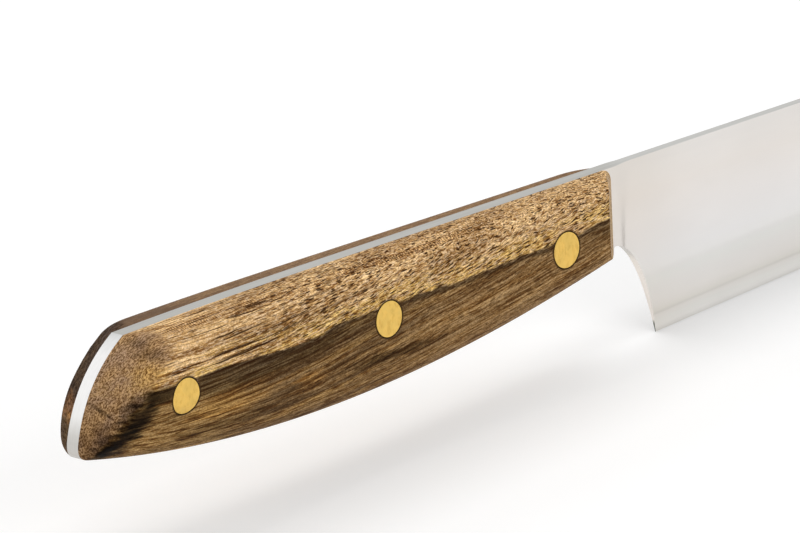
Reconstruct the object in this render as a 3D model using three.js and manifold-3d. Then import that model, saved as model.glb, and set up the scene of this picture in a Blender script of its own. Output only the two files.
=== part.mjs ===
// A single-bevel slicing knife with a full tang, two wooden scales and three two-piece brass rivets.
// Millimetres, +Z up. The knife stands spine up with its tip towards +X and its bevelled face towards -Y.
// While it is drawn, x = 0 is the front of the scales at the tang and z = 0 is the line of the spine.
import * as THREE from "three";
import { mergeVertices } from "three/addons/utils/BufferGeometryUtils.js";
import Module from "manifold-3d";

// Steel
const TANG_THICKNESS = 2.5;
const BLADE_LENGTH = 240; // from heel to tip, along the spine
const HEEL_HEIGHT = 31.1; // from the spine down to the heel
const HEEL_REACH = 11.4; // from the front of the scales to the heel
const NECK_HEIGHT = 14.6; // height of the tang at the front of the scales
const NECK_STEP = 1.1; // how far the arch starts above the tang's lower line
const NECK_REACH = 0.25; // from the front of the scales to the start of the arch
const ARCH_REACH = 5.6; // tightness of the arch where it leaves the neck
const HEEL_LEAN = 9.5; // tightness of the arch where it meets the heel
const HEEL_SLOPE = 0.27; // forward lean of the heel's back, for each millimetre down
const EDGE_RISE = 0.0647; // rise of the cutting edge for each millimetre, near the heel
const EDGE_STRAIGHT = 130; // length over which the edge keeps close to that rise
const TIP_DROP = 2; // the point lies this far below the line of the spine
const TIP_SWEEP = 30; // length of the last upward sweep of the edge
const TIP_BELLY = 14.5; // height of that sweep
const SPINE_SWEEP = 60; // length over which the spine drops to the point
const PLUNGE_REACH = 2.8; // from the front of the scales to the start of the ground face
const BACK_GRIND = 0.2; // the blade's flat back lies this far inside the tang's face
const SPINE_AT_PLUNGE = 1.75; // thickness of the ground blade at its spine
const SPINE_AT_TIP = 0.9;
const BEVEL_WIDTH = 11; // wide bevel, from the edge up to the ridge line, at the heel
const BEVEL_RELIEF = 0.3; // the blade is this much thinner at the ridge line than at its spine
const EDGE_BEVEL_WIDTH = 3.4; // narrow bevel along the edge, at the heel
const EDGE_BEVEL_THICKNESS = 0.65;
const EDGE_LAND = 0.12; // thickness left at the very edge
const HOLLOW_DEPTH = 0.3; // shallow hollow ground into the flat back
const HOLLOW_RIM_TOP = 5; // flat rim left along the spine
const HOLLOW_RIM_EDGE = 2.6; // flat rim left along the edge
const HOLLOW_RIM_HEEL = 9; // flat rim left behind the hollow

// Handle
const HANDLE_LENGTH = 124.6; // from the front of the scales to the lower corner of the butt
const BUTT_HEIGHT = 18.8; // from the spine down to that corner
const BUTT_SLANT = 11.5; // the butt's upper corner lies this far ahead of the lower one
const BUTT_SAG = 2.6; // roundness of the butt
const BUTT_CORNER = 2.4; // rounding of its lower corner
const SPINE_FALL = 0.65; // the spine's line falls this far towards the butt
const SPINE_FALL_LENGTH = 46; // length over which it falls
const BELLY_SAG = 7; // fullness of the underside
const BELLY_SETBACK = 5.8; // how far that fullness is set back from mid length, towards the butt
const REAR_SCALE_THICKNESS = 7.2;
const FRONT_SCALE_THICKNESS = 4.9;
const REAR_CROWN_TOP = 4.2; // height of the rounding along the upper edge
const FRONT_CROWN_TOP = 3.3;
const LEFT_REAR_CROWN_TOP = 2.3; // the same on the left scale, which is flatter on top
const LEFT_FRONT_CROWN_TOP = 3.2;
const REAR_FLAT = 2.6; // height of the flat side left between the upper and the lower rounding
const FRONT_FLAT = 7.5;
const LOWER_CROWN_POWER = 1.6; // 2 makes the lower rounding an ellipse, and less makes its flank straighter
const RIGHT_BUTT_CHAMFER = 0.95; // length of the chamfer at the butt's upper corner for each millimetre of thickness
const LEFT_BUTT_CHAMFER = 1.17;
const LOWER_BUTT_CHAMFER = 0.5; // the same at the lower corner, on both sides
const RIGHT_FRONT_CHAMFER = 1.15; // the same at the front of the scales
const LEFT_FRONT_CHAMFER = 2.2;
const FRONT_CORNER = 2.4; // rounding of the upper front corner of the scales

// Rivets
const HEAD_DIAMETER = 6;
const BARREL_DIAMETER = 4;
const POST_DIAMETER = 2.4;
const HEAD_SEAT = 2.6; // wood left between the tang and the seat of a head
const BARREL_END_GAP = 1; // room between the end of a barrel and the other head
const POST_END_GAP = 0.8; // room between the end of a post and the bottom of its bore
const RIVET_CLEARANCE = 0.15; // radial, all round
const FRONT_RIVET_INSET = 16.25; // from the front of the scales
const FRONT_RIVET_DEPTH = 9.1; // from the spine down
const MIDDLE_RIVET_INSET = 58.6;
const MIDDLE_RIVET_DEPTH = 10.25;
const REAR_RIVET_INSET = 18.45; // from the lower corner of the butt
const REAR_RIVET_DEPTH = 11.3;
const RIVETS = [
  { name: "front", x: -FRONT_RIVET_INSET, z: -FRONT_RIVET_DEPTH },
  { name: "middle", x: -MIDDLE_RIVET_INSET, z: -MIDDLE_RIVET_DEPTH },
  { name: "rear", x: REAR_RIVET_INSET - HANDLE_LENGTH, z: -REAR_RIVET_DEPTH },
];

// Fineness of the facets
const CURVE_STEPS = 20;
const CROWN_STEPS = 6;
const ROUND_STEPS = 32;
const HOLLOW_STEPS = 6;
const LEAN_STEPS = 10;
const MARGIN = 20; // how far a cutter reaches past what it cuts

const wasm = await Module();
wasm.setup();

const HALF_TANG = TANG_THICKNESS / 2;
const BACK = HALF_TANG - BACK_GRIND; // plane of the blade's flat back
const SEAT = HALF_TANG + HEAD_SEAT; // from the middle of the knife to the seat of a head
const FRONT_CROWN_BOTTOM = NECK_HEIGHT - FRONT_CROWN_TOP - FRONT_FLAT; // height of the rounding along the lower edge
const REAR_CROWN_BOTTOM = BUTT_HEIGHT - REAR_CROWN_TOP - REAR_FLAT;
const heel = new THREE.Vector2(HEEL_REACH, -HEEL_HEIGHT);
const tip = new THREE.Vector2(HEEL_REACH + BLADE_LENGTH, -TIP_DROP);
const neck = new THREE.Vector2(0, -NECK_HEIGHT);
const buttLow = new THREE.Vector2(-HANDLE_LENGTH, -BUTT_HEIGHT);
const buttTop = new THREE.Vector2(-HANDLE_LENGTH + BUTT_SLANT, -SPINE_FALL);

// Materials
const steel = new THREE.MeshStandardMaterial({ color: 0xd9d6d0, roughness: 0.25, metalness: 1 });
const wood = new THREE.MeshStandardMaterial({ color: 0x8f6a3c, roughness: 0.55, metalness: 0 });
const brass = new THREE.MeshStandardMaterial({ color: 0xd9b052, roughness: 0.35, metalness: 1 });

// The control point of a shallow curve from a to b that bulges by sag to the right of that direction, its fullness
// set back towards a.
function bulge(a, b, sag, setback = 0) {
  const along = b.clone().sub(a).normalize();
  const outwards = new THREE.Vector2(along.y, -along.x);
  const middle = a.clone().add(b).multiplyScalar(0.5);
  return middle.addScaledVector(outwards, 2 * sag).addScaledVector(along, -setback);
}

// The stretch of a shallow curve between two shares of its run.
function stretch({ v0, v1, v2 }, from, to) {
  const at = (s, t) =>
    v0.clone().multiplyScalar((1 - s) * (1 - t)).addScaledVector(v1, s + t - 2 * s * t).addScaledVector(v2, s * t);
  return new THREE.QuadraticBezierCurve(at(from, from), at(from, to), at(to, to));
}

// The side curves that the tang and the scales share, drawn in x and z. The butt and the belly stop short of the
// lower corner, which is rounded.
const sharpBelly = new THREE.QuadraticBezierCurve(buttLow, bulge(buttLow, neck, BELLY_SAG, BELLY_SETBACK), neck);
const sharpButt = new THREE.QuadraticBezierCurve(buttTop, bulge(buttLow, buttTop, -BUTT_SAG), buttLow);
const belly = stretch(sharpBelly, BUTT_CORNER / sharpBelly.getLength(), 1);
const butt = stretch(sharpButt, 0, 1 - BUTT_CORNER / sharpButt.getLength());
const edge = new THREE.CubicBezierCurve(
  heel,
  new THREE.Vector2(heel.x + EDGE_STRAIGHT, heel.y + EDGE_STRAIGHT * EDGE_RISE),
  new THREE.Vector2(tip.x - TIP_SWEEP, tip.y - TIP_BELLY),
  tip,
);
const spineSweep = new THREE.QuadraticBezierCurve(
  new THREE.Vector2(tip.x - SPINE_SWEEP, 0),
  new THREE.Vector2(tip.x - SPINE_SWEEP / 2, 0),
  tip,
);

// A geometry as a solid that can be cut and joined.
function solid(geometry) {
  const bare = geometry.clone();
  bare.deleteAttribute("normal");
  bare.deleteAttribute("uv");
  const merged = mergeVertices(bare, 1e-5);
  return new wasm.Manifold(
    new wasm.Mesh({
      numProp: 3,
      vertProperties: new Float32Array(merged.attributes.position.array),
      triVerts: new Uint32Array(merged.index.array),
    }),
  );
}

// A named mesh made from a finished solid.
function piece(name, body, material) {
  const { vertProperties, triVerts } = body.getMesh();
  const geometry = new THREE.BufferGeometry();
  geometry.setAttribute("position", new THREE.BufferAttribute(vertProperties, 3));
  geometry.setIndex(new THREE.BufferAttribute(triVerts, 1));
  const mesh = new THREE.Mesh(geometry.toNonIndexed(), material);
  mesh.geometry.computeVertexNormals();
  mesh.name = name;
  return mesh;
}

// A plate with a side outline drawn in x and z, between two planes of y.
function plate(outline, yNear, yFar, steps = 1) {
  return new THREE.ExtrudeGeometry(outline, {
    depth: yFar - yNear,
    steps,
    curveSegments: CURVE_STEPS,
    bevelEnabled: false,
  })
    .rotateX(Math.PI / 2)
    .translate(0, yFar, 0);
}

// A closed skin over rings of (y, z) points that stand at rising x. The rings run anticlockwise seen from +X.
function loft(stations) {
  const count = stations[0].ring.length;
  const points = stations.flatMap(({ x, ring }) => ring.map((p) => [x, p.x, p.y]));
  const faces = [];
  for (let s = 0; s + 1 < stations.length; s++) {
    for (let i = 0; i < count; i++) {
      const a = s * count + i;
      const b = s * count + ((i + 1) % count);
      faces.push([a, b, b + count], [a, b + count, a + count]);
    }
  }
  const last = (stations.length - 1) * count;
  for (const [a, b, c] of THREE.ShapeUtils.triangulateShape(stations[0].ring, [])) faces.push([a, c, b]);
  for (const [a, b, c] of THREE.ShapeUtils.triangulateShape(stations.at(-1).ring, []))
    faces.push([last + a, last + b, last + c]);
  const skin = new THREE.BufferGeometry();
  skin.setAttribute("position", new THREE.Float32BufferAttribute(points.flat(), 3));
  return skin.setIndex(faces.flat());
}

// A round rod across the knife.
function rod(diameter, yNear, yFar, { x, z }) {
  const radius = diameter / 2;
  return solid(
    new THREE.CylinderGeometry(radius, radius, yFar - yNear, ROUND_STEPS).translate(x, (yNear + yFar) / 2, z),
  );
}

// Height of the spine at x.
function spineAt(x) {
  const ahead = Math.max(0, x - (tip.x - SPINE_SWEEP)) / SPINE_SWEEP;
  const behind = Math.max(0, buttTop.x + SPINE_FALL_LENGTH - x) / SPINE_FALL_LENGTH;
  return spineSweep.getPoint(ahead).y - SPINE_FALL * behind ** 2;
}

// One cross-section of the ground blade: where its lines lie at x, over an edge at height low.
function section(x, low) {
  const height = spineAt(x) - low;
  const share = height / HEEL_HEIGHT;
  const along = (x - PLUNGE_REACH) / (tip.x - PLUNGE_REACH);
  const spine = THREE.MathUtils.lerp(SPINE_AT_PLUNGE, SPINE_AT_TIP, along);
  const ridge = Math.max(spine - BEVEL_RELIEF, EDGE_LAND);
  const thin = ridge / (SPINE_AT_PLUNGE - BEVEL_RELIEF);
  return {
    top: spineAt(x),
    low,
    share,
    spine,
    ridge,
    ridgeZ: low + BEVEL_WIDTH * share,
    narrow: Math.max(EDGE_BEVEL_THICKNESS * thin, EDGE_LAND),
    narrowZ: low + EDGE_BEVEL_WIDTH * share,
  };
}

// Sections from the plunge line to the tip, and one just past it.
function bladeStations() {
  const start = { x: PLUNGE_REACH, low: heel.y + (PLUNGE_REACH - heel.x) * EDGE_RISE };
  const along = edge.getPoints(CURVE_STEPS).map((p) => ({ x: p.x, low: p.y }));
  const past = { x: tip.x + MARGIN, low: tip.y };
  return [start, ...along, past];
}

// What the grinder takes off the face towards -Y.
function faceGrind() {
  const outer = -TANG_THICKNESS - MARGIN;
  const stations = bladeStations().map(({ x, low }) => {
    const s = section(Math.min(x, tip.x), low);
    const back = (thickness) => BACK - thickness;
    const ring = [
      new THREE.Vector2(outer, low - MARGIN),
      new THREE.Vector2(back(EDGE_LAND), low - MARGIN),
      new THREE.Vector2(back(EDGE_LAND), s.low),
      new THREE.Vector2(back(s.narrow), s.narrowZ),
      new THREE.Vector2(back(s.ridge), s.ridgeZ),
      new THREE.Vector2(back(s.spine), s.top),
      new THREE.Vector2(back(s.spine), s.top + MARGIN),
      new THREE.Vector2(outer, s.top + MARGIN),
    ];
    return { x, ring };
  });
  return solid(loft(stations));
}

// What the grinder takes off the flat back.
function backGrind() {
  const length = tip.x + MARGIN - PLUNGE_REACH;
  const block = new THREE.BoxGeometry(length, MARGIN, HEEL_HEIGHT + 2 * MARGIN);
  return solid(block.translate(PLUNGE_REACH + length / 2, BACK + MARGIN / 2, -HEEL_HEIGHT / 2));
}

// The shallow hollow in the flat back, which runs out before the heel and the tip.
function backHollow() {
  const stations = edge.getPoints(CURVE_STEPS).slice(0, -1).map(({ x, y }, i, all) => {
    const s = section(x, y);
    const level = Math.sin((Math.PI * (i + 0.5)) / all.length) ** 0.5;
    const top = s.top - HOLLOW_RIM_TOP * s.share;
    const low = s.low + HOLLOW_RIM_EDGE * s.share;
    const depth = HOLLOW_DEPTH * s.share * level;
    const ring = [];
    for (let k = 0; k <= HOLLOW_STEPS; k++) {
      const across = k / HOLLOW_STEPS;
      const z = THREE.MathUtils.lerp(top, low, across);
      ring.push(new THREE.Vector2(BACK - 4 * depth * across * (1 - across), z));
    }
    ring.push(new THREE.Vector2(BACK + MARGIN, low), new THREE.Vector2(BACK + MARGIN, top));
    return { x: x + HOLLOW_RIM_HEEL * (1 - i / all.length), ring };
  });
  return solid(loft(stations));
}

// Blade, neck and full tang in one piece of steel.
function blade() {
  const outline = new THREE.Shape();
  outline.moveTo(buttTop.x, buttTop.y);
  outline.quadraticCurveTo(butt.v1.x, butt.v1.y, butt.v2.x, butt.v2.y);
  outline.quadraticCurveTo(buttLow.x, buttLow.y, belly.v0.x, belly.v0.y);
  outline.quadraticCurveTo(belly.v1.x, belly.v1.y, neck.x, neck.y);
  outline.lineTo(NECK_REACH, neck.y + NECK_STEP);
  outline.bezierCurveTo(
    NECK_REACH + ARCH_REACH, neck.y + NECK_STEP,
    heel.x - HEEL_LEAN * HEEL_SLOPE, heel.y + HEEL_LEAN,
    heel.x, heel.y,
  );
  outline.bezierCurveTo(edge.v1.x, edge.v1.y, edge.v2.x, edge.v2.y, tip.x, tip.y);
  outline.quadraticCurveTo(spineSweep.v1.x, spineSweep.v1.y, spineSweep.v0.x, spineSweep.v0.y);
  outline.lineTo(buttTop.x + SPINE_FALL_LENGTH, 0);
  outline.quadraticCurveTo(buttTop.x + SPINE_FALL_LENGTH / 2, 0, buttTop.x, buttTop.y);
  outline.closePath();
  let body = solid(plate(outline, -HALF_TANG, HALF_TANG))
    .subtract(faceGrind())
    .subtract(backGrind())
    .subtract(backHollow());
  for (const rivet of RIVETS) {
    body = body.subtract(rod(BARREL_DIAMETER + 2 * RIVET_CLEARANCE, -MARGIN, MARGIN, rivet));
  }
  return piece("blade", body, steel);
}

// A size of the scales at x, between its values at the front and at the butt.
function alongScale(front, rear, x) {
  return THREE.MathUtils.lerp(front, rear, THREE.MathUtils.clamp(-x / HANDLE_LENGTH, 0, 1));
}

// The crowned bar that a scale is cut from. A side of -1 lies towards -Y and a side of 1 towards +Y.
function scaleBar(side) {
  const under = belly.getPoints(CURVE_STEPS);
  const rear = new THREE.Vector2(buttLow.x - MARGIN, buttLow.y);
  const front = new THREE.Vector2(neck.x + MARGIN, neck.y);
  const stations = [rear, ...under, front].map(({ x, y: low }) => {
    const thick = alongScale(FRONT_SCALE_THICKNESS, REAR_SCALE_THICKNESS, x);
    const crownTop =
      side > 0
        ? alongScale(LEFT_FRONT_CROWN_TOP, LEFT_REAR_CROWN_TOP, x)
        : alongScale(FRONT_CROWN_TOP, REAR_CROWN_TOP, x);
    const crownLow = alongScale(FRONT_CROWN_BOTTOM, REAR_CROWN_BOTTOM, x);
    const turns = Array.from({ length: CROWN_STEPS + 1 }, (_, k) => (k / CROWN_STEPS) * (Math.PI / 2));
    const top = turns.map((a) => [thick * Math.sin(a), spineAt(x) + crownTop * (Math.cos(a) - 1)]);
    const bend = 2 / LOWER_CROWN_POWER;
    const bottom = turns.map((a) => [thick * Math.cos(a) ** bend, low + crownLow * (1 - Math.sin(a) ** bend)]);
    const ring = [...top, ...bottom].map(([out, z]) => new THREE.Vector2(side * (HALF_TANG + out), z));
    return { x, ring: side > 0 ? ring.reverse() : ring };
  });
  return solid(loft(stations));
}

// A plate on one side of the tang that leans in x, for each millimetre away from the tang, by the slope at z.
function leaningPlate(outline, side, slopeAt) {
  const leaning = plate(outline, side > 0 ? 0 : -MARGIN, side > 0 ? MARGIN : 0, LEAN_STEPS);
  const points = leaning.attributes.position;
  for (let i = 0; i < points.count; i++) {
    const away = side * points.getY(i) - HALF_TANG;
    points.setX(i, points.getX(i) + slopeAt(points.getZ(i)) * away);
  }
  return solid(leaning);
}

// Everything ahead of the butt, whose curve runs on straight above the handle, and below it from the rounded corner.
function aheadOfButt() {
  const up = buttTop.clone().addScaledVector(butt.getTangent(0), -MARGIN);
  const down = belly.v0.clone().addScaledVector(belly.getTangent(0), HANDLE_LENGTH + MARGIN);
  const outline = new THREE.Shape();
  outline.moveTo(up.x, up.y);
  outline.lineTo(buttTop.x, buttTop.y);
  outline.quadraticCurveTo(butt.v1.x, butt.v1.y, butt.v2.x, butt.v2.y);
  outline.quadraticCurveTo(buttLow.x, buttLow.y, belly.v0.x, belly.v0.y);
  outline.lineTo(down.x, down.y);
  outline.lineTo(2 * MARGIN, down.y);
  outline.lineTo(2 * MARGIN, up.y);
  outline.closePath();
  return outline;
}

// Everything behind the front of the scales, whose upper corner is rounded.
function behindFront() {
  const rear = buttLow.x - 2 * MARGIN;
  const low = -HEEL_HEIGHT - MARGIN;
  const outline = new THREE.Shape();
  outline.moveTo(rear, low);
  outline.lineTo(0, low);
  outline.lineTo(0, -FRONT_CORNER);
  outline.quadraticCurveTo(0, 0, -FRONT_CORNER, 0);
  outline.lineTo(-FRONT_CORNER, MARGIN);
  outline.lineTo(rear, MARGIN);
  outline.closePath();
  return outline;
}

// Slope of the chamfer at the butt of one scale, at height z.
function buttChamfer(side, z) {
  const upper = side > 0 ? LEFT_BUTT_CHAMFER : RIGHT_BUTT_CHAMFER;
  return THREE.MathUtils.lerp(upper, LOWER_BUTT_CHAMFER, -z / BUTT_HEIGHT);
}

// Slope of the chamfer at the front of one scale.
function frontChamfer(side) {
  return side > 0 ? LEFT_FRONT_CHAMFER : RIGHT_FRONT_CHAMFER;
}

// A rod on one side of the tang, between two distances from the middle of the knife.
function sideRod(diameter, from, to, side, place) {
  return rod(diameter, Math.min(side * from, side * to), Math.max(side * from, side * to), place);
}

// One wooden scale with its stepped rivet holes.
function scale(name, side) {
  let body = scaleBar(side)
    .intersect(leaningPlate(aheadOfButt(), side, (z) => buttChamfer(side, z)))
    .intersect(leaningPlate(behindFront(), side, () => -frontChamfer(side)));
  for (const rivet of RIVETS) {
    body = body
      .subtract(sideRod(BARREL_DIAMETER + 2 * RIVET_CLEARANCE, 0, SEAT, side, rivet))
      .subtract(sideRod(HEAD_DIAMETER + 2 * RIVET_CLEARANCE, SEAT, SEAT + MARGIN, side, rivet));
  }
  return piece(name, body, wood);
}

// A rivet head, ground flush with the scale that it sits in.
function head(side, rivet) {
  return sideRod(HEAD_DIAMETER, SEAT, SEAT + MARGIN, side, rivet).intersect(scaleBar(side));
}

// The half of a rivet that carries the solid post, headed on the bevelled side.
function rivetPost(rivet) {
  const post = rod(POST_DIAMETER, -SEAT, SEAT - POST_END_GAP, rivet);
  return piece(`${rivet.name}_rivet_post`, head(-1, rivet).add(post), brass);
}

// The half of a rivet whose barrel passes through the tang and takes the post.
function rivetBarrel(rivet) {
  const open = -(SEAT - BARREL_END_GAP);
  const tube = rod(BARREL_DIAMETER, open, SEAT, rivet);
  const bore = rod(POST_DIAMETER + 2 * RIVET_CLEARANCE, open - MARGIN, SEAT, rivet);
  return piece(`${rivet.name}_rivet_barrel`, head(1, rivet).add(tube).subtract(bore), brass);
}

// The knife, with its origin below the middle of its length and level with its lowest point.
const knife = new THREE.Group();
knife.add(blade(), scale("right_scale", -1), scale("left_scale", 1));
for (const rivet of RIVETS) knife.add(rivetPost(rivet), rivetBarrel(rivet));
const extent = new THREE.Box3().setFromObject(knife);
knife.position.set(-(extent.min.x + extent.max.x) / 2, 0, -extent.min.z);

const group = new THREE.Group();
group.add(knife);
export default group;
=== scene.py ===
"""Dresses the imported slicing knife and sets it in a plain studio.

The blade and the two scales get finer meshes of the same shape as their CAD solids, the rivets keep theirs,
and every surface gets a procedural finish. Sizes are in millimetres: x runs from the front of the scales
towards the tip, y from the middle of the tang towards the back, and z up from the line of the spine.
"""
import logging
import math
from dataclasses import dataclass, field
from enum import Enum
from typing import Any, Callable, Mapping, Sequence

import bmesh
import bpy
import numpy as np
from mathutils import Matrix, Vector


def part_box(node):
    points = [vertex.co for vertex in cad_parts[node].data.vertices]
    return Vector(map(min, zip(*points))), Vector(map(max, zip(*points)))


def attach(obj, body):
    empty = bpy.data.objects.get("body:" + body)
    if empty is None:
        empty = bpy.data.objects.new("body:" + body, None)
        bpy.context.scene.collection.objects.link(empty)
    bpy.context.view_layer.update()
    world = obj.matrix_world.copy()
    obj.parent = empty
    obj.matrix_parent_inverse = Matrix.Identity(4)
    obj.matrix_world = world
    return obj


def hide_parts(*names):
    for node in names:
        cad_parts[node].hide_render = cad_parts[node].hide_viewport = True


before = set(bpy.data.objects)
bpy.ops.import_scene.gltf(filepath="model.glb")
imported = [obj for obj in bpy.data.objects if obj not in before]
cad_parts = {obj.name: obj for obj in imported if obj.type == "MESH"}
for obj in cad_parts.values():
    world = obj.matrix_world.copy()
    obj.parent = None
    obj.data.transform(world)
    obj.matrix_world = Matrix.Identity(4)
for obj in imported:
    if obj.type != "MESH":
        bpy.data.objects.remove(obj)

Colour = tuple[float, float, float]
Tones = tuple[tuple[float, Colour], ...]
Placer = Callable[[int, int], Vector]
Material = bpy.types.Material
Piece = bpy.types.Object
Shape = bmesh.types.BMesh
Socket = bpy.types.NodeSocket
Tree = bpy.types.NodeTree

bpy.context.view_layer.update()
MM = 0.001
SHARP_ANGLE = math.radians(28)
HANDLE_LENGTH = 124.6
SHORT_CURVE = 41
LONG_CURVE = 121
CORNER_CURVE = 25
SPINE_CURVE = 31
RISE = "rise"
INSET = "inset"
LOG = logging.getLogger("knife")

# Tones of the right face by its rise from the cutting edge: the ground bevels' own finish with painted
# reflection and shade over it, lighter and darker bands and a painted dark line at the edge bevel's crease.
BEVEL_TONES_AND_PAINTED_REFLECTION = (
    (0.0, (1.06, 1.085, 1.085)),
    (0.03, (1.207, 1.23, 1.24)),
    (0.06, (1.165, 1.195, 1.195)),
    (0.095, (1.113, 1.12, 1.115)),
    (0.108, (0.998, 1.005, 0.98)),
    (0.12, (1.07, 1.075, 1.05)),
    (0.167, (1.107, 1.11, 1.107)),
    (0.24, (1.073, 1.086, 1.094)),
    (0.318, (1.038, 1.073, 1.08)),
    (0.334, (1.035, 1.06, 1.077)),
    (0.42, (1.02, 1.042, 1.075)),
    (0.6, (1.02, 1.02, 1.035)),
    (0.8, (0.995, 0.978, 0.965)),
    (1.0, (0.965, 0.964, 0.963)),
)
# Tones of the butt by its height: painted reflection, bright in the middle and darker towards the top and the
# bottom.
BUTT_PAINTED_REFLECTION = (
    (0.0, (0.58, 0.56, 0.53)),
    (0.2, (0.70, 0.69, 0.66)),
    (0.36, (0.94, 0.94, 0.93)),
    (0.5, (1.0, 1.0, 1.0)),
    (0.82, (1.0, 1.0, 1.0)),
    (0.93, (0.86, 0.87, 0.87)),
    (1.0, (0.60, 0.61, 0.61)),
)
# Tones of the arch by its height: painted shade, dark at the heel's corner and darker at the top of the arch.
ARCH_PAINTED_SHADE = (
    (0.0, (0.10, 0.12, 0.11)),
    (0.09, (0.22, 0.25, 0.23)),
    (0.13, (0.95, 0.95, 0.95)),
    (0.6, (1.0, 1.0, 1.0)),
    (0.78, (0.95, 0.95, 0.94)),
    (0.86, (0.72, 0.74, 0.74)),
    (1.0, (0.72, 0.74, 0.74)),
)


class Side(Enum):
    """The side of the tang that a scale lies on, as the sign of y."""

    RIGHT = -1
    LEFT = 1


class SteelFace(Enum):
    """The surfaces of the blade that are ground apart, as material slots of its mesh."""

    FLAT = 0
    SPINE = 1
    BUTT = 2
    ARCH = 3
    BACK = 4


class ToneAlong(Enum):
    """What the tones of a steel finish follow."""

    NOTHING = 0
    RISE = 1
    HEIGHT = 2


def blend(a: float, b: float, share: float) -> float:
    """Goes from a to b by a share from 0 to 1."""
    return a + (b - a) * share


def ease(share: float) -> float:
    """Turns a share into a smooth step with level ends."""
    share = min(max(share, 0.0), 1.0)
    return share * share * (3.0 - 2.0 * share)


def follow(points: Sequence[Vector], count: int, start: float = 0.0) -> np.ndarray:
    """Samples a Bezier curve of any degree.

    Args:
        points: The curve's control points, in (x, z).
        count: The number of samples.
        start: The share of its run that is left out at the start.

    Returns:
        The samples, one (x, z) to a row.
    """
    samples = []
    for share in np.linspace(start, 1.0, count):
        row = list(points)
        while len(row) > 1:
            row = [a.lerp(b, share) for a, b in zip(row, row[1:])]
        samples.append(tuple(row[0]))
    return np.array(samples)


def run(points: Sequence[Vector], count: int = 201) -> float:
    """Measures the length of a Bezier curve by a number of samples."""
    steps = np.diff(follow(points, count), axis=0)
    return float(np.hypot(steps[:, 0], steps[:, 1]).sum())


def bulge(a: Vector, b: Vector, sag: float, setback: float = 0.0) -> Vector:
    """Finds the control point that makes a curve from a to b sag to one side.

    Args:
        a: The start of the curve.
        b: The end of the curve.
        sag: How far the middle of the curve stands off the straight line.
        setback: How far the control point moves back towards a.

    Returns:
        The control point.
    """
    along = (b - a).normalized()
    off = Vector((along.y, -along.x))
    return (a + b) / 2 + off * (2 * sag) - along * setback


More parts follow.
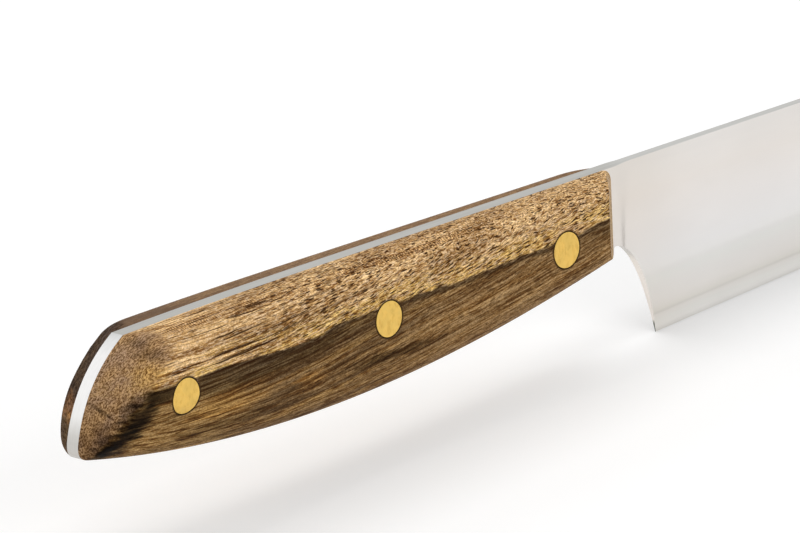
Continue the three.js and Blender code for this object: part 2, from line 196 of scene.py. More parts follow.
@dataclass
class SideView:
    """The knife's outline as seen from the side."""

    handle_length: float = HANDLE_LENGTH
    butt_height: float = 18.8
    butt_slant: float = 11.5
    butt_sag: float = 2.6
    butt_corner: float = 2.4
    spine_fall: float = 0.65
    spine_fall_length: float = 46.0
    belly_sag: float = 7.0
    belly_setback: float = 5.8
    neck_height: float = 14.6
    neck_step: float = 1.1
    neck_reach: float = 0.25
    arch_reach: float = 5.6
    heel_lean: float = 9.5
    heel_slope: float = 0.27
    heel_reach: float = 11.4
    heel_height: float = 31.1
    blade_length: float = 240.0
    edge_rise: float = 0.0647
    edge_straight: float = 130.0
    tip_drop: float = 2.0
    tip_sweep: float = 30.0
    tip_belly: float = 14.5
    spine_sweep: float = 60.0
    butt_top: Vector = field(init=False)
    rear: np.ndarray = field(init=False)
    butt: np.ndarray = field(init=False)
    corner: np.ndarray = field(init=False)
    arch: np.ndarray = field(init=False)
    edge: np.ndarray = field(init=False)
    over: np.ndarray = field(init=False)
    under: np.ndarray = field(init=False)

    def __post_init__(self) -> None:
        """Draws the curves of the outline once."""
        low = Vector((-self.handle_length, -self.butt_height))
        top = Vector((-self.handle_length + self.butt_slant, -self.spine_fall))
        neck = Vector((0.0, -self.neck_height))
        throat = Vector((self.neck_reach, self.neck_step - self.neck_height))
        heel = Vector((self.heel_reach, -self.heel_height))
        tip = Vector((self.heel_reach + self.blade_length, -self.tip_drop))
        self.butt_top = top
        butt = (low, bulge(low, top, -self.butt_sag), top)
        belly = (low, bulge(low, neck, self.belly_sag, self.belly_setback), neck)
        above = follow(butt, SHORT_CURVE, self.butt_corner / run(butt))
        below = follow(belly, LONG_CURVE, self.butt_corner / run(belly))
        corner = follow((Vector(below[0]), low, Vector(above[0])), CORNER_CURVE)
        self.rear = np.vstack([corner, above[1:]])
        last = int(np.argmin(self.rear[:, 0]))
        self.corner = self.rear[last::-1]
        self.butt = self.rear[last:]
        ahead = throat + Vector((self.arch_reach, 0.0))
        lean = heel + Vector((-self.heel_slope * self.heel_lean, self.heel_lean))
        self.arch = follow((throat, ahead, lean, heel), SHORT_CURVE)
        straight = heel + Vector((self.edge_straight, self.edge_straight * self.edge_rise))
        belly_end = tip + Vector((-self.tip_sweep, -self.tip_belly))
        self.edge = follow((heel, straight, belly_end, tip), LONG_CURVE)
        level = tip.x - self.spine_sweep
        turn = np.linspace(0.0, 1.0, SPINE_CURVE)
        sweep = [(level + self.spine_sweep * t, -self.tip_drop * t * t) for t in turn]
        behind = np.linspace(top.x, top.x + self.spine_fall_length, SPINE_CURVE)
        fall = [(x, self.spine_at(x)) for x in behind]
        self.over = np.vstack([self.butt, fall[1:], sweep])
        self.under = np.vstack([self.corner, below[1:], self.arch, self.edge[1:]])

    def spine_at(self, x: float) -> float:
        """Gives the height of the handle's upper line at x, drawn on behind the butt."""
        behind = max(self.butt_top.x + self.spine_fall_length - x, 0.0) / self.spine_fall_length
        return -self.spine_fall * behind * behind

    def top_at(self, x: float) -> float:
        """Gives the height of the upper outline at x."""
        return float(np.interp(x, self.over[:, 0], self.over[:, 1]))

    def low_at(self, x: float) -> float:
        """Gives the height of the lower outline at x."""
        return float(np.interp(x, self.under[:, 0], self.under[:, 1]))

    def edge_at(self, x: float) -> float:
        """Gives the height of the cutting edge, drawn straight on behind the heel.

        Args:
            x: The place along the knife.

        Returns:
            The height.
        """
        if x < self.heel_reach:
            return -self.heel_height + (x - self.heel_reach) * self.edge_rise
        return self.low_at(x)

    def butt_at(self, z: float) -> float:
        """Gives where the butt of the tang lies, drawn straight on above its top.

        Args:
            z: The height.

        Returns:
            The butt's x.
        """
        if z > self.butt_top.y:
            step = self.butt[-1] - self.butt[-2]
            return float(self.butt[-1, 0] + (z - self.butt_top.y) * step[0] / step[1])
        return float(np.interp(z, self.rear[:, 1], self.rear[:, 0]))


def hand_over(shape: Shape, name: str) -> Piece:
    """Turns a shape into an object of the scene.

    Args:
        shape: The shape, which is freed.
        name: The name of the object and of its mesh.

    Returns:
        The object.
    """
    mesh = bpy.data.meshes.new(name)
    shape.to_mesh(mesh)
    shape.free()
    piece = bpy.data.objects.new(name, mesh)
    bpy.context.collection.objects.link(piece)
    return piece


@dataclass
class RivetLayout:
    """The three rivets' places and the stepped holes that they sit in."""

    head_diameter: float = 6.0
    barrel_diameter: float = 4.0
    clearance: float = 0.15
    seat: float = 3.85
    reach: float = 12.0
    steps: int = 64
    merge: float = 1e-5
    places: Mapping[str, tuple[float, float]] = field(
        default_factory=lambda: {
            "front": (-16.25, -9.1),
            "middle": (-58.6, -10.25),
            "rear": (-106.15, -11.3),
        }
    )

    def hole_cutter(self) -> Piece:
        """Spins the three stepped holes as one solid, in millimetres.

        Returns:
            The cutting object, to be removed once the holes are cut.
        """
        wide = self.head_diameter / 2 + self.clearance
        slim = self.barrel_diameter / 2 + self.clearance
        half = ((0.0, self.reach), (wide, self.reach), (wide, self.seat), (slim, self.seat))
        profile = [(r, -y) for r, y in half] + list(reversed(half))
        shape = bmesh.new()
        for x, z in self.places.values():
            line = [shape.verts.new((x + r, y, z)) for r, y in profile]
            rail = [shape.edges.new(pair) for pair in zip(line, line[1:])]
            bmesh.ops.spin(
                shape,
                geom=line + rail,
                cent=(x, 0.0, z),
                axis=(0.0, 1.0, 0.0),
                angle=math.tau,
                steps=self.steps,
                use_merge=True,
            )
        bmesh.ops.remove_doubles(shape, verts=shape.verts[:], dist=self.merge)
        bmesh.ops.recalc_face_normals(shape, faces=shape.faces[:])
        return hand_over(shape, "hole_cutter")


def skin(columns: int, rows: int, near: Placer, far: Placer, merge: float = 1e-4) -> Shape:
    """Makes a closed skin from a grid that is extruded once and laid over two sides of a piece.

    Args:
        columns: The number of faces along the piece.
        rows: The number of faces from one end of a column to the other.
        near: Gives the point of the near side for a column and a row.
        far: Gives the point of the far side for a column and a row.
        merge: The distance within which points become one.

    Returns:
        The closed shape, in millimetres.
    """
    shape = bmesh.new()
    bmesh.ops.create_grid(shape, x_segments=columns, y_segments=rows, size=0.5)
    made = bmesh.ops.extrude_face_region(shape, geom=shape.faces[:])
    pushed = {item for item in made["geom"] if isinstance(item, bmesh.types.BMVert)}
    for vert in shape.verts:
        column = round((vert.co.x + 0.5) * columns)
        row = round((vert.co.y + 0.5) * rows)
        vert.co = far(column, row) if vert in pushed else near(column, row)
    bmesh.ops.remove_doubles(shape, verts=shape.verts[:], dist=merge)
    bmesh.ops.recalc_face_normals(shape, faces=shape.faces[:])
    return shape


@dataclass
class Bench:
    """Turns finished shapes into pieces of the knife, at their place in the CAD frame."""

    view: SideView
    rivets: RivetLayout

    def datum(self) -> Vector:
        """Finds the point under the front of the scales, on the line of the spine, in metres."""
        low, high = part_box("blade")
        return Vector((low[0] - self.view.butt[0, 0] * MM, 0.0, high[2]))

    def cut_holes(self, piece: Piece) -> None:
        """Cuts the rivets' holes through a piece that is still in millimetres.

        Args:
            piece: The piece to cut.
        """
        cutter = self.rivets.hole_cutter()
        cut = piece.modifiers.new("rivet_holes", "BOOLEAN")
        cut.operation = "DIFFERENCE"
        cut.solver = "EXACT"
        cut.object = cutter
        graph = bpy.context.evaluated_depsgraph_get()
        mesh = bpy.data.meshes.new_from_object(piece.evaluated_get(graph))
        piece.modifiers.clear()
        spent = (piece.data, cutter.data)
        piece.data = mesh
        bpy.data.objects.remove(cutter)
        for old in spent:
            bpy.data.meshes.remove(old)

    def set_up(self, shape: Shape, name: str, node: str, slot: str, finishes: Sequence[Material]) -> Piece:
        """Makes a piece from a shape, cuts its holes and puts it in place of a CAD node.

        Args:
            shape: The shape in millimetres, which is freed.
            name: The piece's name.
            node: The CAD node that the piece replaces.
            slot: The record's material slot, which is not used.
            finishes: The piece's materials, in the order of its material slots.

        Returns:
            The piece.
        """
        piece = hand_over(shape, name)
        for finish in finishes:
            piece.data.materials.append(finish)
        self.cut_holes(piece)
        piece.data.name = name
        piece.data.transform(Matrix.Translation(self.datum()) @ Matrix.Scale(MM, 4))
        piece.data.polygons.foreach_set("use_smooth", [True] * len(piece.data.polygons))
        piece.data.set_sharp_from_angle(angle=SHARP_ANGLE)
        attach(piece, "root")
        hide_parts(node)
        LOG.info("built %s", name)
        return piece


class NodeBench:
    """Adds and joins the nodes of one material or node group."""

    def __init__(self, tree: Tree) -> None:
        """Starts work on a node tree."""
        self.tree = tree

    def put(self, socket: Socket, value: Any) -> None:
        """Links a socket to another one, or sets it to a plain value.

        Args:
            socket: The input socket.
            value: The socket that feeds it, a number, a vector or a colour of three parts.
        """
        if isinstance(value, Socket):
            self.tree.links.new(value, socket)
        elif socket.type == "RGBA":
            socket.default_value = (*value, 1.0)
        else:
            socket.default_value = value

    def add(self, kind: str, inputs: Mapping[Any, Any] | None = None, **settings: Any) -> bpy.types.Node:
        """Adds a node.

        Args:
            kind: The node's type name.
            inputs: Values or sockets by the input's name or number.
            **settings: The node's own settings.

        Returns:
            The node.
        """
        node = self.tree.nodes.new(kind)
        for name, value in settings.items():
            setattr(node, name, value)
        for key, value in (inputs or {}).items():
            self.put(node.inputs[key], value)
        return node

    def math(self, operation: str, *values: Any) -> Socket:
        """Adds a Math node over one or more values."""
        return self.add("ShaderNodeMath", dict(enumerate(values)), operation=operation).outputs[0]

    def plus(self, a: Any, b: Any) -> Socket:
        """Adds two values."""
        return self.math("ADD", a, b)

    def times(self, product: Any, *others: Any) -> Socket:
        """Multiplies values, one after another.

        Args:
            product: The first value.
            *others: The values that it is multiplied by.

        Returns:
            The product's socket.
        """
        for other in others:
            product = self.math("MULTIPLY", product, other)
        return product

    def sway(self, noise: Any, reach: Any) -> Socket:
        """Turns a noise into a sway to both sides of 0."""
        return self.times(self.math("SUBTRACT", noise, 0.5), reach)

    def share(self, value: Any, low: float, high: float) -> Socket:
        """Turns a stretch of values into an even share from 0 to 1."""
        inputs = {"Value": value, "From Min": low, "From Max": high}
        return self.add("ShaderNodeMapRange", inputs).outputs["Result"]

    def span(self, value: Any, low: float, high: float, start: float = 0.0, end: float = 1.0) -> Socket:
        """Maps a stretch of values smoothly onto another.

        Args:
            value: The value's socket.
            low: The value that gives start.
            high: The value that gives end.
            start: The result at and before low.
            end: The result at and after high.

        Returns:
            The mapped value's socket.
        """
        inputs = {"Value": value, "From Min": low, "From Max": high, "To Min": start, "To Max": end}
        return self.add("ShaderNodeMapRange", inputs, interpolation_type="SMOOTHSTEP").outputs["Result"]

    def band(self, value: Any, rise: tuple[float, float], fall: tuple[float, float]) -> Socket:
        """Gives 1 between a rise and a fall of a value, and 0 outside them."""
        return self.times(self.span(value, *rise), self.span(value, *fall))

    def parts(self, vector: Any) -> list[Socket]:
        """Takes a vector apart into x, y and z."""
        return list(self.add("ShaderNodeSeparateXYZ", {0: vector}).outputs)

    def place(self, vector: Any, scale: Colour, shift: Colour = (0.0, 0.0, 0.0)) -> Socket:
        """Stretches and then shifts coordinates with a Mapping node."""
        return self.add("ShaderNodeMapping", {"Vector": vector, "Scale": scale, "Location": shift}).outputs[0]

    def noise(
        self,
        vector: Any,
        scale: Colour,
        shift: Colour = (0.0, 0.0, 0.0),
        detail: float = 2.0,
        rough: float = 0.5,
    ) -> Socket:
        """Adds a noise over stretched coordinates and gives its value."""
        inputs = {"Vector": self.place(vector, scale, shift), "Scale": 1.0, "Detail": detail}
        return self.add("ShaderNodeTexNoise", {**inputs, "Roughness": rough}).outputs[0]

    def cells(self, vector: Any, scale: Colour) -> tuple[Socket, Socket]:
        """Scatters cells and gives the distance to their middles, and their colour."""
        node = self.add("ShaderNodeTexVoronoi", {"Vector": self.place(vector, scale), "Scale": 1.0})
        return node.outputs["Distance"], node.outputs["Color"]

    def mix(self, share: Any, a: Any, b: Any, kind: str = "MIX") -> Socket:
        """Mixes two colours, of which b shows by the share."""
        return self.add("ShaderNodeMix", {0: share, 6: a, 7: b}, data_type="RGBA", blend_type=kind).outputs[2]

    def tint(self, colour: Any, by: Any, share: Any = 1.0) -> Socket:
        """Multiplies a colour by another."""
        return self.mix(share, colour, by, "MULTIPLY")

    def ramp(self, value: Any, stops: Sequence[tuple[float, Any]], smooth: bool = False) -> Socket:
        """Adds a colour ramp.

        Args:
            value: The value that reads the ramp.
            stops: Places from 0 to 1 with their colours, or with one number for a grey.
            smooth: True for eased steps between the stops.

        Returns:
            The colour's socket.
        """
        node = self.add("ShaderNodeValToRGB", {"Fac": value})
        ramp = node.color_ramp
        ramp.interpolation = "EASE" if smooth else "LINEAR"
        while len(ramp.elements) < len(stops):
            ramp.elements.new(0.5)
        for element, (at, _) in zip(ramp.elements, stops):
            element.position = at
        for element, (_, colour) in zip(ramp.elements, stops):
            whole = colour if isinstance(colour, tuple) else (colour,) * 3
            element.color = (*whole, 1.0)
        return node.outputs["Color"]

    def bump(self, shader: bpy.types.Node, height: Socket, strength: float, distance: float) -> None:
        """Raises a shader's surface by a height."""
        node = self.add("ShaderNodeBump", {"Strength": strength, "Distance": distance, "Height": height})
        self.put(shader.inputs["Normal"], node.outputs[0])


def new_group(name: str, takes: Mapping[str, str], gives: Mapping[str, str]) -> Tree:
    """Starts a shared node group.

    Args:
        name: The group's name.
        takes: The socket types of its inputs by name.
        gives: The socket types of its outputs by name.

    Returns:
        The group's node tree.
    """
    tree = bpy.data.node_groups.new(name, "ShaderNodeTree")
    for way, sockets in (("INPUT", takes), ("OUTPUT", gives)):
        for title, kind in sockets.items():
            tree.interface.new_socket(name=title, in_out=way, socket_type=kind)
    return tree


def new_material(name: str) -> tuple[Material, bpy.types.Node]:
    """Starts a material.

    Args:
        name: The material's name.

    Returns:
        The material and its shader.
    """
    material = bpy.data.materials.new(name)
    material.use_nodes = True
    return material, material.node_tree.nodes["Principled BSDF"]


class GrindingLines(NodeBench):
    """The shared group of fine grinding lines and slow smudges on metal."""

    def __init__(self) -> None:
        """Makes the group, which takes coordinates that are already stretched along the lines."""
        takes = {"Lines at": "NodeSocketVector", "Smudges at": "NodeSocketVector"}
        gives = {"Lines": "NodeSocketFloat", "Smudges": "NodeSocketFloat"}
        super().__init__(new_group("Grinding lines", takes, gives))
        at = self.tree.nodes.new("NodeGroupInput").outputs
        outputs = self.tree.nodes.new("NodeGroupOutput").inputs
        settings = {"Lines": (4.0, 0.65, 0.28, 0.72), "Smudges": (3.0, 0.55, 0.3, 0.7)}
        for title, (detail, rough, low, high) in settings.items():
            inputs = {"Vector": at[f"{title} at"], "Scale": 1.0, "Detail": detail, "Roughness": rough}
            noise = self.add("ShaderNodeTexNoise", inputs).outputs[0]
            self.put(outputs[title], self.span(noise, low, high))


class StreakedGrain(NodeBench):
    """The shared group of the wood's figure, in millimetres along, across and up the handle."""

    def __init__(self) -> None:
        """Makes the group, which gives the colour, the pores' mask and the height of the surface."""
        gives = {"Color": "NodeSocketColor", "Pores": "NodeSocketFloat", "Height": "NodeSocketFloat"}
        super().__init__(new_group("Streaked grain", {"Vector": "NodeSocketVector"}, gives))
        self.at = self.tree.nodes.new("NodeGroupInput").outputs["Vector"]
        self.along, self.across, self.up = self.parts(self.at)
        self.from_butt = self.share(self.along, -HANDLE_LENGTH, 0.0)
        self.bent = self.bent_grain()
        self.level = self.streak_level()
        fibre = self.fibres()
        pores = self.pore_dashes()
        colour = self.crown_ribs(self.flecks(self.layers(), fibre))
        pore_depth = self.times(pores, self.span(self.level, -2.0, 0.5, 0.6, 0.95))
        colour = self.mix(pore_depth, colour, (0.030, 0.010, 0.003))
        height = self.math("SUBTRACT", self.times(fibre, 0.35), pores)
        outputs = self.tree.nodes.new("NodeGroupOutput").inputs
        for title, value in (("Color", colour), ("Pores", pores), ("Height", height)):
            self.put(outputs[title], value)

    def bent_grain(self) -> Socket:
        """Bends the coordinates so that the fibres rise towards the front and ripple on the crown.

        Returns:
            The bent coordinates.
        """
        climb = self.times(self.math("SMOOTH_MAX", self.plus(self.along, 85.0), 0.0, 30.0), -0.16)
        curl = self.noise(self.at, (0.62, 0.5, 0.5))
        crown = self.span(self.up, -6.5, -2.5)
        front = self.span(self.along, -72.0, -38.0, 0.1, 1.0)
        ripple = self.times(self.sway(curl, 1.7), crown, front)
        waver = self.sway(self.noise(self.at, (0.07, 0.2, 0.16)), 1.2)
        risen = self.plus(self.plus(self.up, climb), self.plus(ripple, waver))
        return self.add("ShaderNodeCombineXYZ", {0: self.along, 1: self.across, 2: risen}).outputs[0]

    def streak_level(self) -> Socket:
        """Measures the height above the wavy upper line of the dark streak.

        Returns:
            The height's socket.
        """
        wave = self.ramp(
            self.from_butt,
            ((0.0, 0.30), (0.22, 0.48), (0.36, 0.27), (0.46, 0.62), (0.56, 0.6), (0.65, 0.58), (0.76, 0.72),
             (0.83, 0.72), (0.89, 0.86), (1.0, 1.12)),
            smooth=True,
        )
        ripple = self.noise(self.at, (0.16, 0.2, 0.5), detail=5.0, rough=0.62)
        line = self.plus(self.times(wave, 4.0), self.times(ripple, 2.0))
        level = self.plus(self.math("SUBTRACT", self.up, line), 11.1)
        return self.math("SUBTRACT", level, self.times(self.across, 0.05))

    def layers(self) -> Socket:
        """Colours the wood by its layers: tan above the streak, then dark, then streaky brown.

        Returns:
            The colour's socket.
        """
        streaks = self.noise(self.bent, (0.02, 0.3, 0.55), detail=4.0, rough=0.6)
        brown = self.ramp(
            self.span(streaks, 0.3, 0.7),
            ((0.0, (0.062, 0.033, 0.013)), (0.35, (0.130, 0.073, 0.029)), (0.6, (0.202, 0.114, 0.043)),
             (1.0, (0.33, 0.190, 0.064))),
        )
        brown = self.mix(self.span(self.along, -84.0, -104.0, 0.0, 0.5), brown, (0.34, 0.192, 0.060))
        brown = self.mix(self.span(self.along, -64.0, -40.0, 0.0, 0.6), brown, (0.32, 0.186, 0.073))
        tan = self.ramp(
            self.span(self.noise(self.bent, (0.03, 0.4, 0.5), (5.0, 0.0, 2.0), detail=3.0), 0.3, 0.7),
            ((0.0, (0.31, 0.168, 0.060)), (0.5, (0.47, 0.275, 0.108)), (1.0, (0.60, 0.375, 0.160))),
        )
        gold = self.span(self.noise(self.at, (0.09, 0.3, 0.35), (2.0, 5.0, 1.0)), 0.36, 0.54)
        gold = self.times(gold, self.span(self.level, 4.8, 1.2), 0.8)
        tan = self.mix(gold, tan, (0.53, 0.32, 0.085))
        base = self.mix(self.span(self.level, -0.25, 0.25), brown, tan)
        strength = self.ramp(
            self.from_butt,
            ((0.0, 0.35), (0.13, 0.3), (0.18, 0.9), (0.42, 0.86), (0.53, 0.4), (0.62, 0.15), (0.86, 0.15),
             (0.94, 0.6), (1.0, 0.55)),
        )
        ragged = self.plus(self.level, self.sway(streaks, 9.0))
        dark = self.times(self.span(ragged, -5.0, -1.0), self.span(self.level, 0.2, -0.35), strength)
        thin = self.band(self.level, (0.2, -0.2), (-1.3, -0.5))
        thin = self.times(thin, self.span(self.along, -110.0, -100.0, 0.3, 0.8))
        return self.mix(self.math("MAXIMUM", dark, thin), base, (0.046, 0.027, 0.012))

    def fibres(self) -> Socket:
        """Draws long fibres towards the butt and shorter ones towards the front.

        Returns:
            The fibres' value.
        """
        long = self.noise(self.bent, (0.045, 3.0, 3.0), detail=3.0, rough=0.68)
        short = self.noise(self.bent, (0.46, 4.4, 4.4), (3.0, 8.0, 1.0), rough=0.6)
        share = self.times(self.span(self.along, -96.0, -72.0), self.span(self.level, -1.5, 1.0, 0.35, 0.8))
        return self.plus(long, self.times(self.math("SUBTRACT", short, long), share))

    def flecks(self, base: Socket, fibre: Socket) -> Socket:
        """Tones the layers by their fibres, light flecks and fine specks.

        Args:
            base: The colour of the layers.
            fibre: The fibres' value.

        Returns:
            The colour's socket.
        """
        tone = self.ramp(
            self.span(fibre, 0.34, 0.66),
            ((0.0, (0.2, 0.085, 0.028)), (0.2, (0.56, 0.42, 0.30)), (0.42, (0.92, 0.865, 0.80)),
             (1.0, (1.95, 2.2, 2.75))),
        )
        base = self.tint(base, tone, 0.85)
        fleck = self.span(self.noise(self.bent, (0.75, 4.2, 4.2), (7.0, 3.0, 5.0)), 0.5, 0.62)
        light = self.span(self.level, -0.6, 0.8, 0.0, 0.6)
        base = self.mix(self.times(fleck, light), base, (0.86, 0.62, 0.385))
        speck = self.span(self.noise(self.at, (2.6, 4.5, 4.5), detail=1.0), 0.3, 0.7)
        return self.tint(base, self.ramp(speck, ((0.0, (0.72, 0.70, 0.68)), (1.0, (1.28, 1.3, 1.3)))))

    def crown_ribs(self, base: Socket) -> Socket:
        """Adds a narrow band of fine ribs across the grain, in patches along the rounded top.

        Args:
            base: The colour so far.

        Returns:
            The colour with the ribs.
        """
        patch = self.ramp(
            self.from_butt,
            ((0.12, 0.0), (0.15, 0.8), (0.21, 0.8), (0.25, 0.35), (0.29, 0.8), (0.34, 0.35), (0.45, 0.5),
             (0.53, 0.9), (0.66, 0.8), (0.75, 0.3), (1.0, 0.3)),
        )
        wander = self.noise(self.at, (0.08, 0.1, 0.1), (4.0, 0.0, 0.0))
        strip = self.band(self.plus(self.up, self.sway(wander, 1.2)), (-1.55, -1.2), (-0.5, -0.7))
        jitter = self.noise(self.at, (0.7, 0.8, 0.8))
        turn = self.plus(self.times(self.along, 11.5), self.times(jitter, 16.0))
        ribs = self.math("MULTIPLY_ADD", self.math("SINE", turn), 0.5, 0.5)
        tone = self.ramp(ribs, ((0.0, (0.26, 0.20, 0.15)), (1.0, (1.1, 1.02, 0.92))))
        return self.tint(base, tone, self.times(strip, patch))

    def pore_dashes(self) -> Socket:
        """Scatters open pores as short dashes along the fibres, with long threads towards the butt.

        Returns:
            The mask of the pores.
        """
        coarse, tag = self.cells(self.bent, (0.44, 2.8, 2.8))
        fine, _ = self.cells(self.bent, (0.8, 4.2, 4.2))
        dashes = self.times(self.span(coarse, 0.42, 0.28), self.span(self.parts(tag)[0], 0.2, 0.5))
        small = self.span(fine, 0.36, 0.24, 0.0, 0.75)
        front = self.span(self.along, -104.0, -74.0, 0.25, 1.0)
        ticks = self.times(self.math("MAXIMUM", dashes, small), front)
        thread = self.noise(self.bent, (0.035, 2.6, 2.6), (1.0, 9.0, 4.0), rough=0.55)
        thread = self.times(self.span(thread, 0.57, 0.63), self.span(self.along, -50.0, -90.0, 0.1, 0.95))
        return self.math("MAXIMUM", ticks, thread)


@dataclass(frozen=True)
class SharedEffects:
    """The node groups that more than one finish uses."""

    grinding: Tree = field(default_factory=lambda: GrindingLines().tree)
    grain: Tree = field(default_factory=lambda: StreakedGrain().tree)


@dataclass(frozen=True)
class MetalFinish:
    """What the ground metals have in common. The roughness follows the lines or the smudges."""

    name: str
    colour: Colour
    roughness: tuple[float, float]
    line_scale: Colour
    smudge_scale: Colour
    rough_by: str
    bump: tuple[float, float]

    def material(self, effects: SharedEffects) -> Material:
        """Makes the material.

        Args:
            effects: The shared node groups.

        Returns:
            The material.
        """
        material, shader = new_material(self.name)
        bench = NodeBench(material.node_tree)
        at = bench.add("ShaderNodeTexCoord").outputs["Object"]
        scales = {"Lines at": self.line_scale, "Smudges at": self.smudge_scale}
        places = {title: bench.place(at, scale) for title, scale in scales.items()}
        ground = bench.add("ShaderNodeGroup", places, node_tree=effects.grinding).outputs
        bench.put(shader.inputs["Base Color"], self.tone(bench, at, ground["Lines"], ground["Smudges"]))
        shader.inputs["Metallic"].default_value = 1.0
        bench.put(shader.inputs["Roughness"], bench.span(ground[self.rough_by], 0.0, 1.0, *self.roughness))
        bench.bump(shader, ground["Lines"], *self.bump)
        return material

    def shade(self, factor: float) -> Colour:
        """Gives a darker or lighter shade of the metal's colour."""
        return tuple(min(part * factor, 1.0) for part in self.colour)

    def tone(self, bench: NodeBench, at: Socket, lines: Socket, smudges: Socket) -> Socket:
        """Colours the metal, in each metal's own way."""
        raise NotImplementedError


@dataclass(frozen=True)
class SteelFinish(MetalFinish):
    """Ground steel with fine lines in one direction."""

    smudge_scale: Colour = (45.0, 60.0, 90.0)
    rough_by: str = "Lines"
    bump: tuple[float, float] = (0.02, 0.00001)
    line_depth: float = 0.0
    tones: Tones = ()
    tone_along: ToneAlong = ToneAlong.NOTHING
    height_span: tuple[float, float] = (0.0, 1.0)
    # A tint towards the rear; on the flat face it is a painted warm reflection of the wood at the neck.
    rear_tint_and_painted_reflection: Colour = (1.0, 1.0, 1.0)
    rear_span: tuple[float, float] = (0.0, 1.0)

    def tone(self, bench: NodeBench, at: Socket, lines: Socket, smudges: Socket) -> Socket:
        """Colours the steel, with its own tones and a tint towards the rear, which in part are painted
        reflection and shade.

        Args:
            bench: The bench of the material.
            at: The Object coordinates.
            lines: The mask of the lines.
            smudges: The mask of the smudges.

        Returns:
            The colour's socket.
        """
        tone = bench.mix(smudges, self.shade(0.98), self.shade(1.015))
        tone = bench.tint(tone, bench.ramp(lines, ((0.0, 1.0 - self.line_depth), (1.0, 1.0))))
        along, _, up = bench.parts(at)
        if self.tone_along is ToneAlong.RISE:
            rise = bench.add("ShaderNodeAttribute", attribute_name=RISE).outputs["Fac"]
            tone = bench.tint(tone, bench.ramp(rise, self.tones))
        elif self.tone_along is ToneAlong.HEIGHT:
            tone = bench.tint(tone, bench.ramp(bench.share(up, *self.height_span), self.tones))
        if min(self.rear_tint_and_painted_reflection) < 1.0:
            tone = bench.tint(tone, self.rear_tint_and_painted_reflection, bench.span(along, *self.rear_span, 1.0, 0.0))
        return tone


@dataclass(frozen=True)
class BrassFinish(MetalFinish):
    """Brass ground flush with the wood, with a fine matte speckle."""

    name: str = "ground brass"
    colour: Colour = (0.80, 0.53, 0.135)
    roughness: tuple[float, float] = (0.37, 0.50)
    line_scale: Colour = (1300.0, 900.0, 700.0)
    smudge_scale: Colour = (420.0, 420.0, 420.0)
    rough_by: str = "Smudges"
    bump: tuple[float, float] = (0.08, 0.0002)

    def tone(self, bench: NodeBench, at: Socket, lines: Socket, smudges: Socket) -> Socket:
        """Colours the brass.

        Args:
            bench: The bench of the material.
            at: The Object coordinates.
            lines: The mask of the lines.
            smudges: The mask of the smudges.

        Returns:
            The colour's socket.
        """
        tone = bench.ramp(smudges, ((0.0, self.shade(0.9)), (1.0, self.shade(1.05))))
        speckle = bench.ramp(lines, ((0.0, (0.86, 0.83, 0.78)), (0.5, 1.0), (1.0, (1.0, 1.02, 1.06))))
        return bench.tint(tone, speckle)


@dataclass(frozen=True)
class Spot:
    """A soft patch that tints the wood, used both for stains and for painted shade."""

    centre: Colour
    reach: Colour
    tint: Colour
    strength: float
    turn: Colour = (0.0, 0.0, 0.0)


@dataclass(frozen=True)
class WoodFinish:
    """Oiled hardwood with a dark streak, open pores and brown end grain."""

    name: str
    spots: tuple[Spot, ...]
    holes: tuple[tuple[float, float], ...]
    end_colour: Colour
    front_colour: Colour
    dot_scale: Colour = (1.2, 5.6, 3.6)
    gloss: float = 0.015
    flip: float = 1.0
    shift: Colour = (0.0, 0.0, 0.0)
    top_share: float = 0.0
    top_span: tuple[float, float] = (-2.6, -0.9)
    top_colour: Colour = (0.25, 0.16, 0.105)
    figure_share: float = 0.12
    front_share: float = 0.85
    rim_reach: tuple[float, float] = (3.15, 3.5)
    rim_share: float = 0.85
    rim_colour: Colour = (0.035, 0.018, 0.008)
    roughness: tuple[float, float] = (0.48, 0.75)
    bump: tuple[float, float] = (0.25, 0.0002)

    def material(self, effects: SharedEffects, datum: Vector) -> Material:
        """Makes the material.

        Args:
            effects: The shared node groups.
            datum: The point under the front of the scales, in metres.

        Returns:
            The material.
        """
        material, shader = new_material(self.name)
        work = WoodWork(material.node_tree, self, datum)
        turned = work.place(work.at, (1.0, 1.0, self.flip), self.shift)
        figure = work.add("ShaderNodeGroup", {"Vector": turned}, node_tree=effects.grain).outputs
        colour = figure["Color"]
        if self.top_share > 0.0:
            top = work.span(work.up, *self.top_span, 0.0, self.top_share)
            colour = work.mix(top, colour, self.top_colour)
        colour = work.hole_rims(work.stains_and_shade(work.ends(colour)))
        work.put(shader.inputs["Base Color"], colour)
        shader.inputs["Specular IOR Level"].default_value = self.gloss
        work.put(shader.inputs["Roughness"], work.span(figure["Pores"], 0.0, 1.0, *self.roughness))
        work.bump(shader, figure["Height"], *self.bump)
        return material


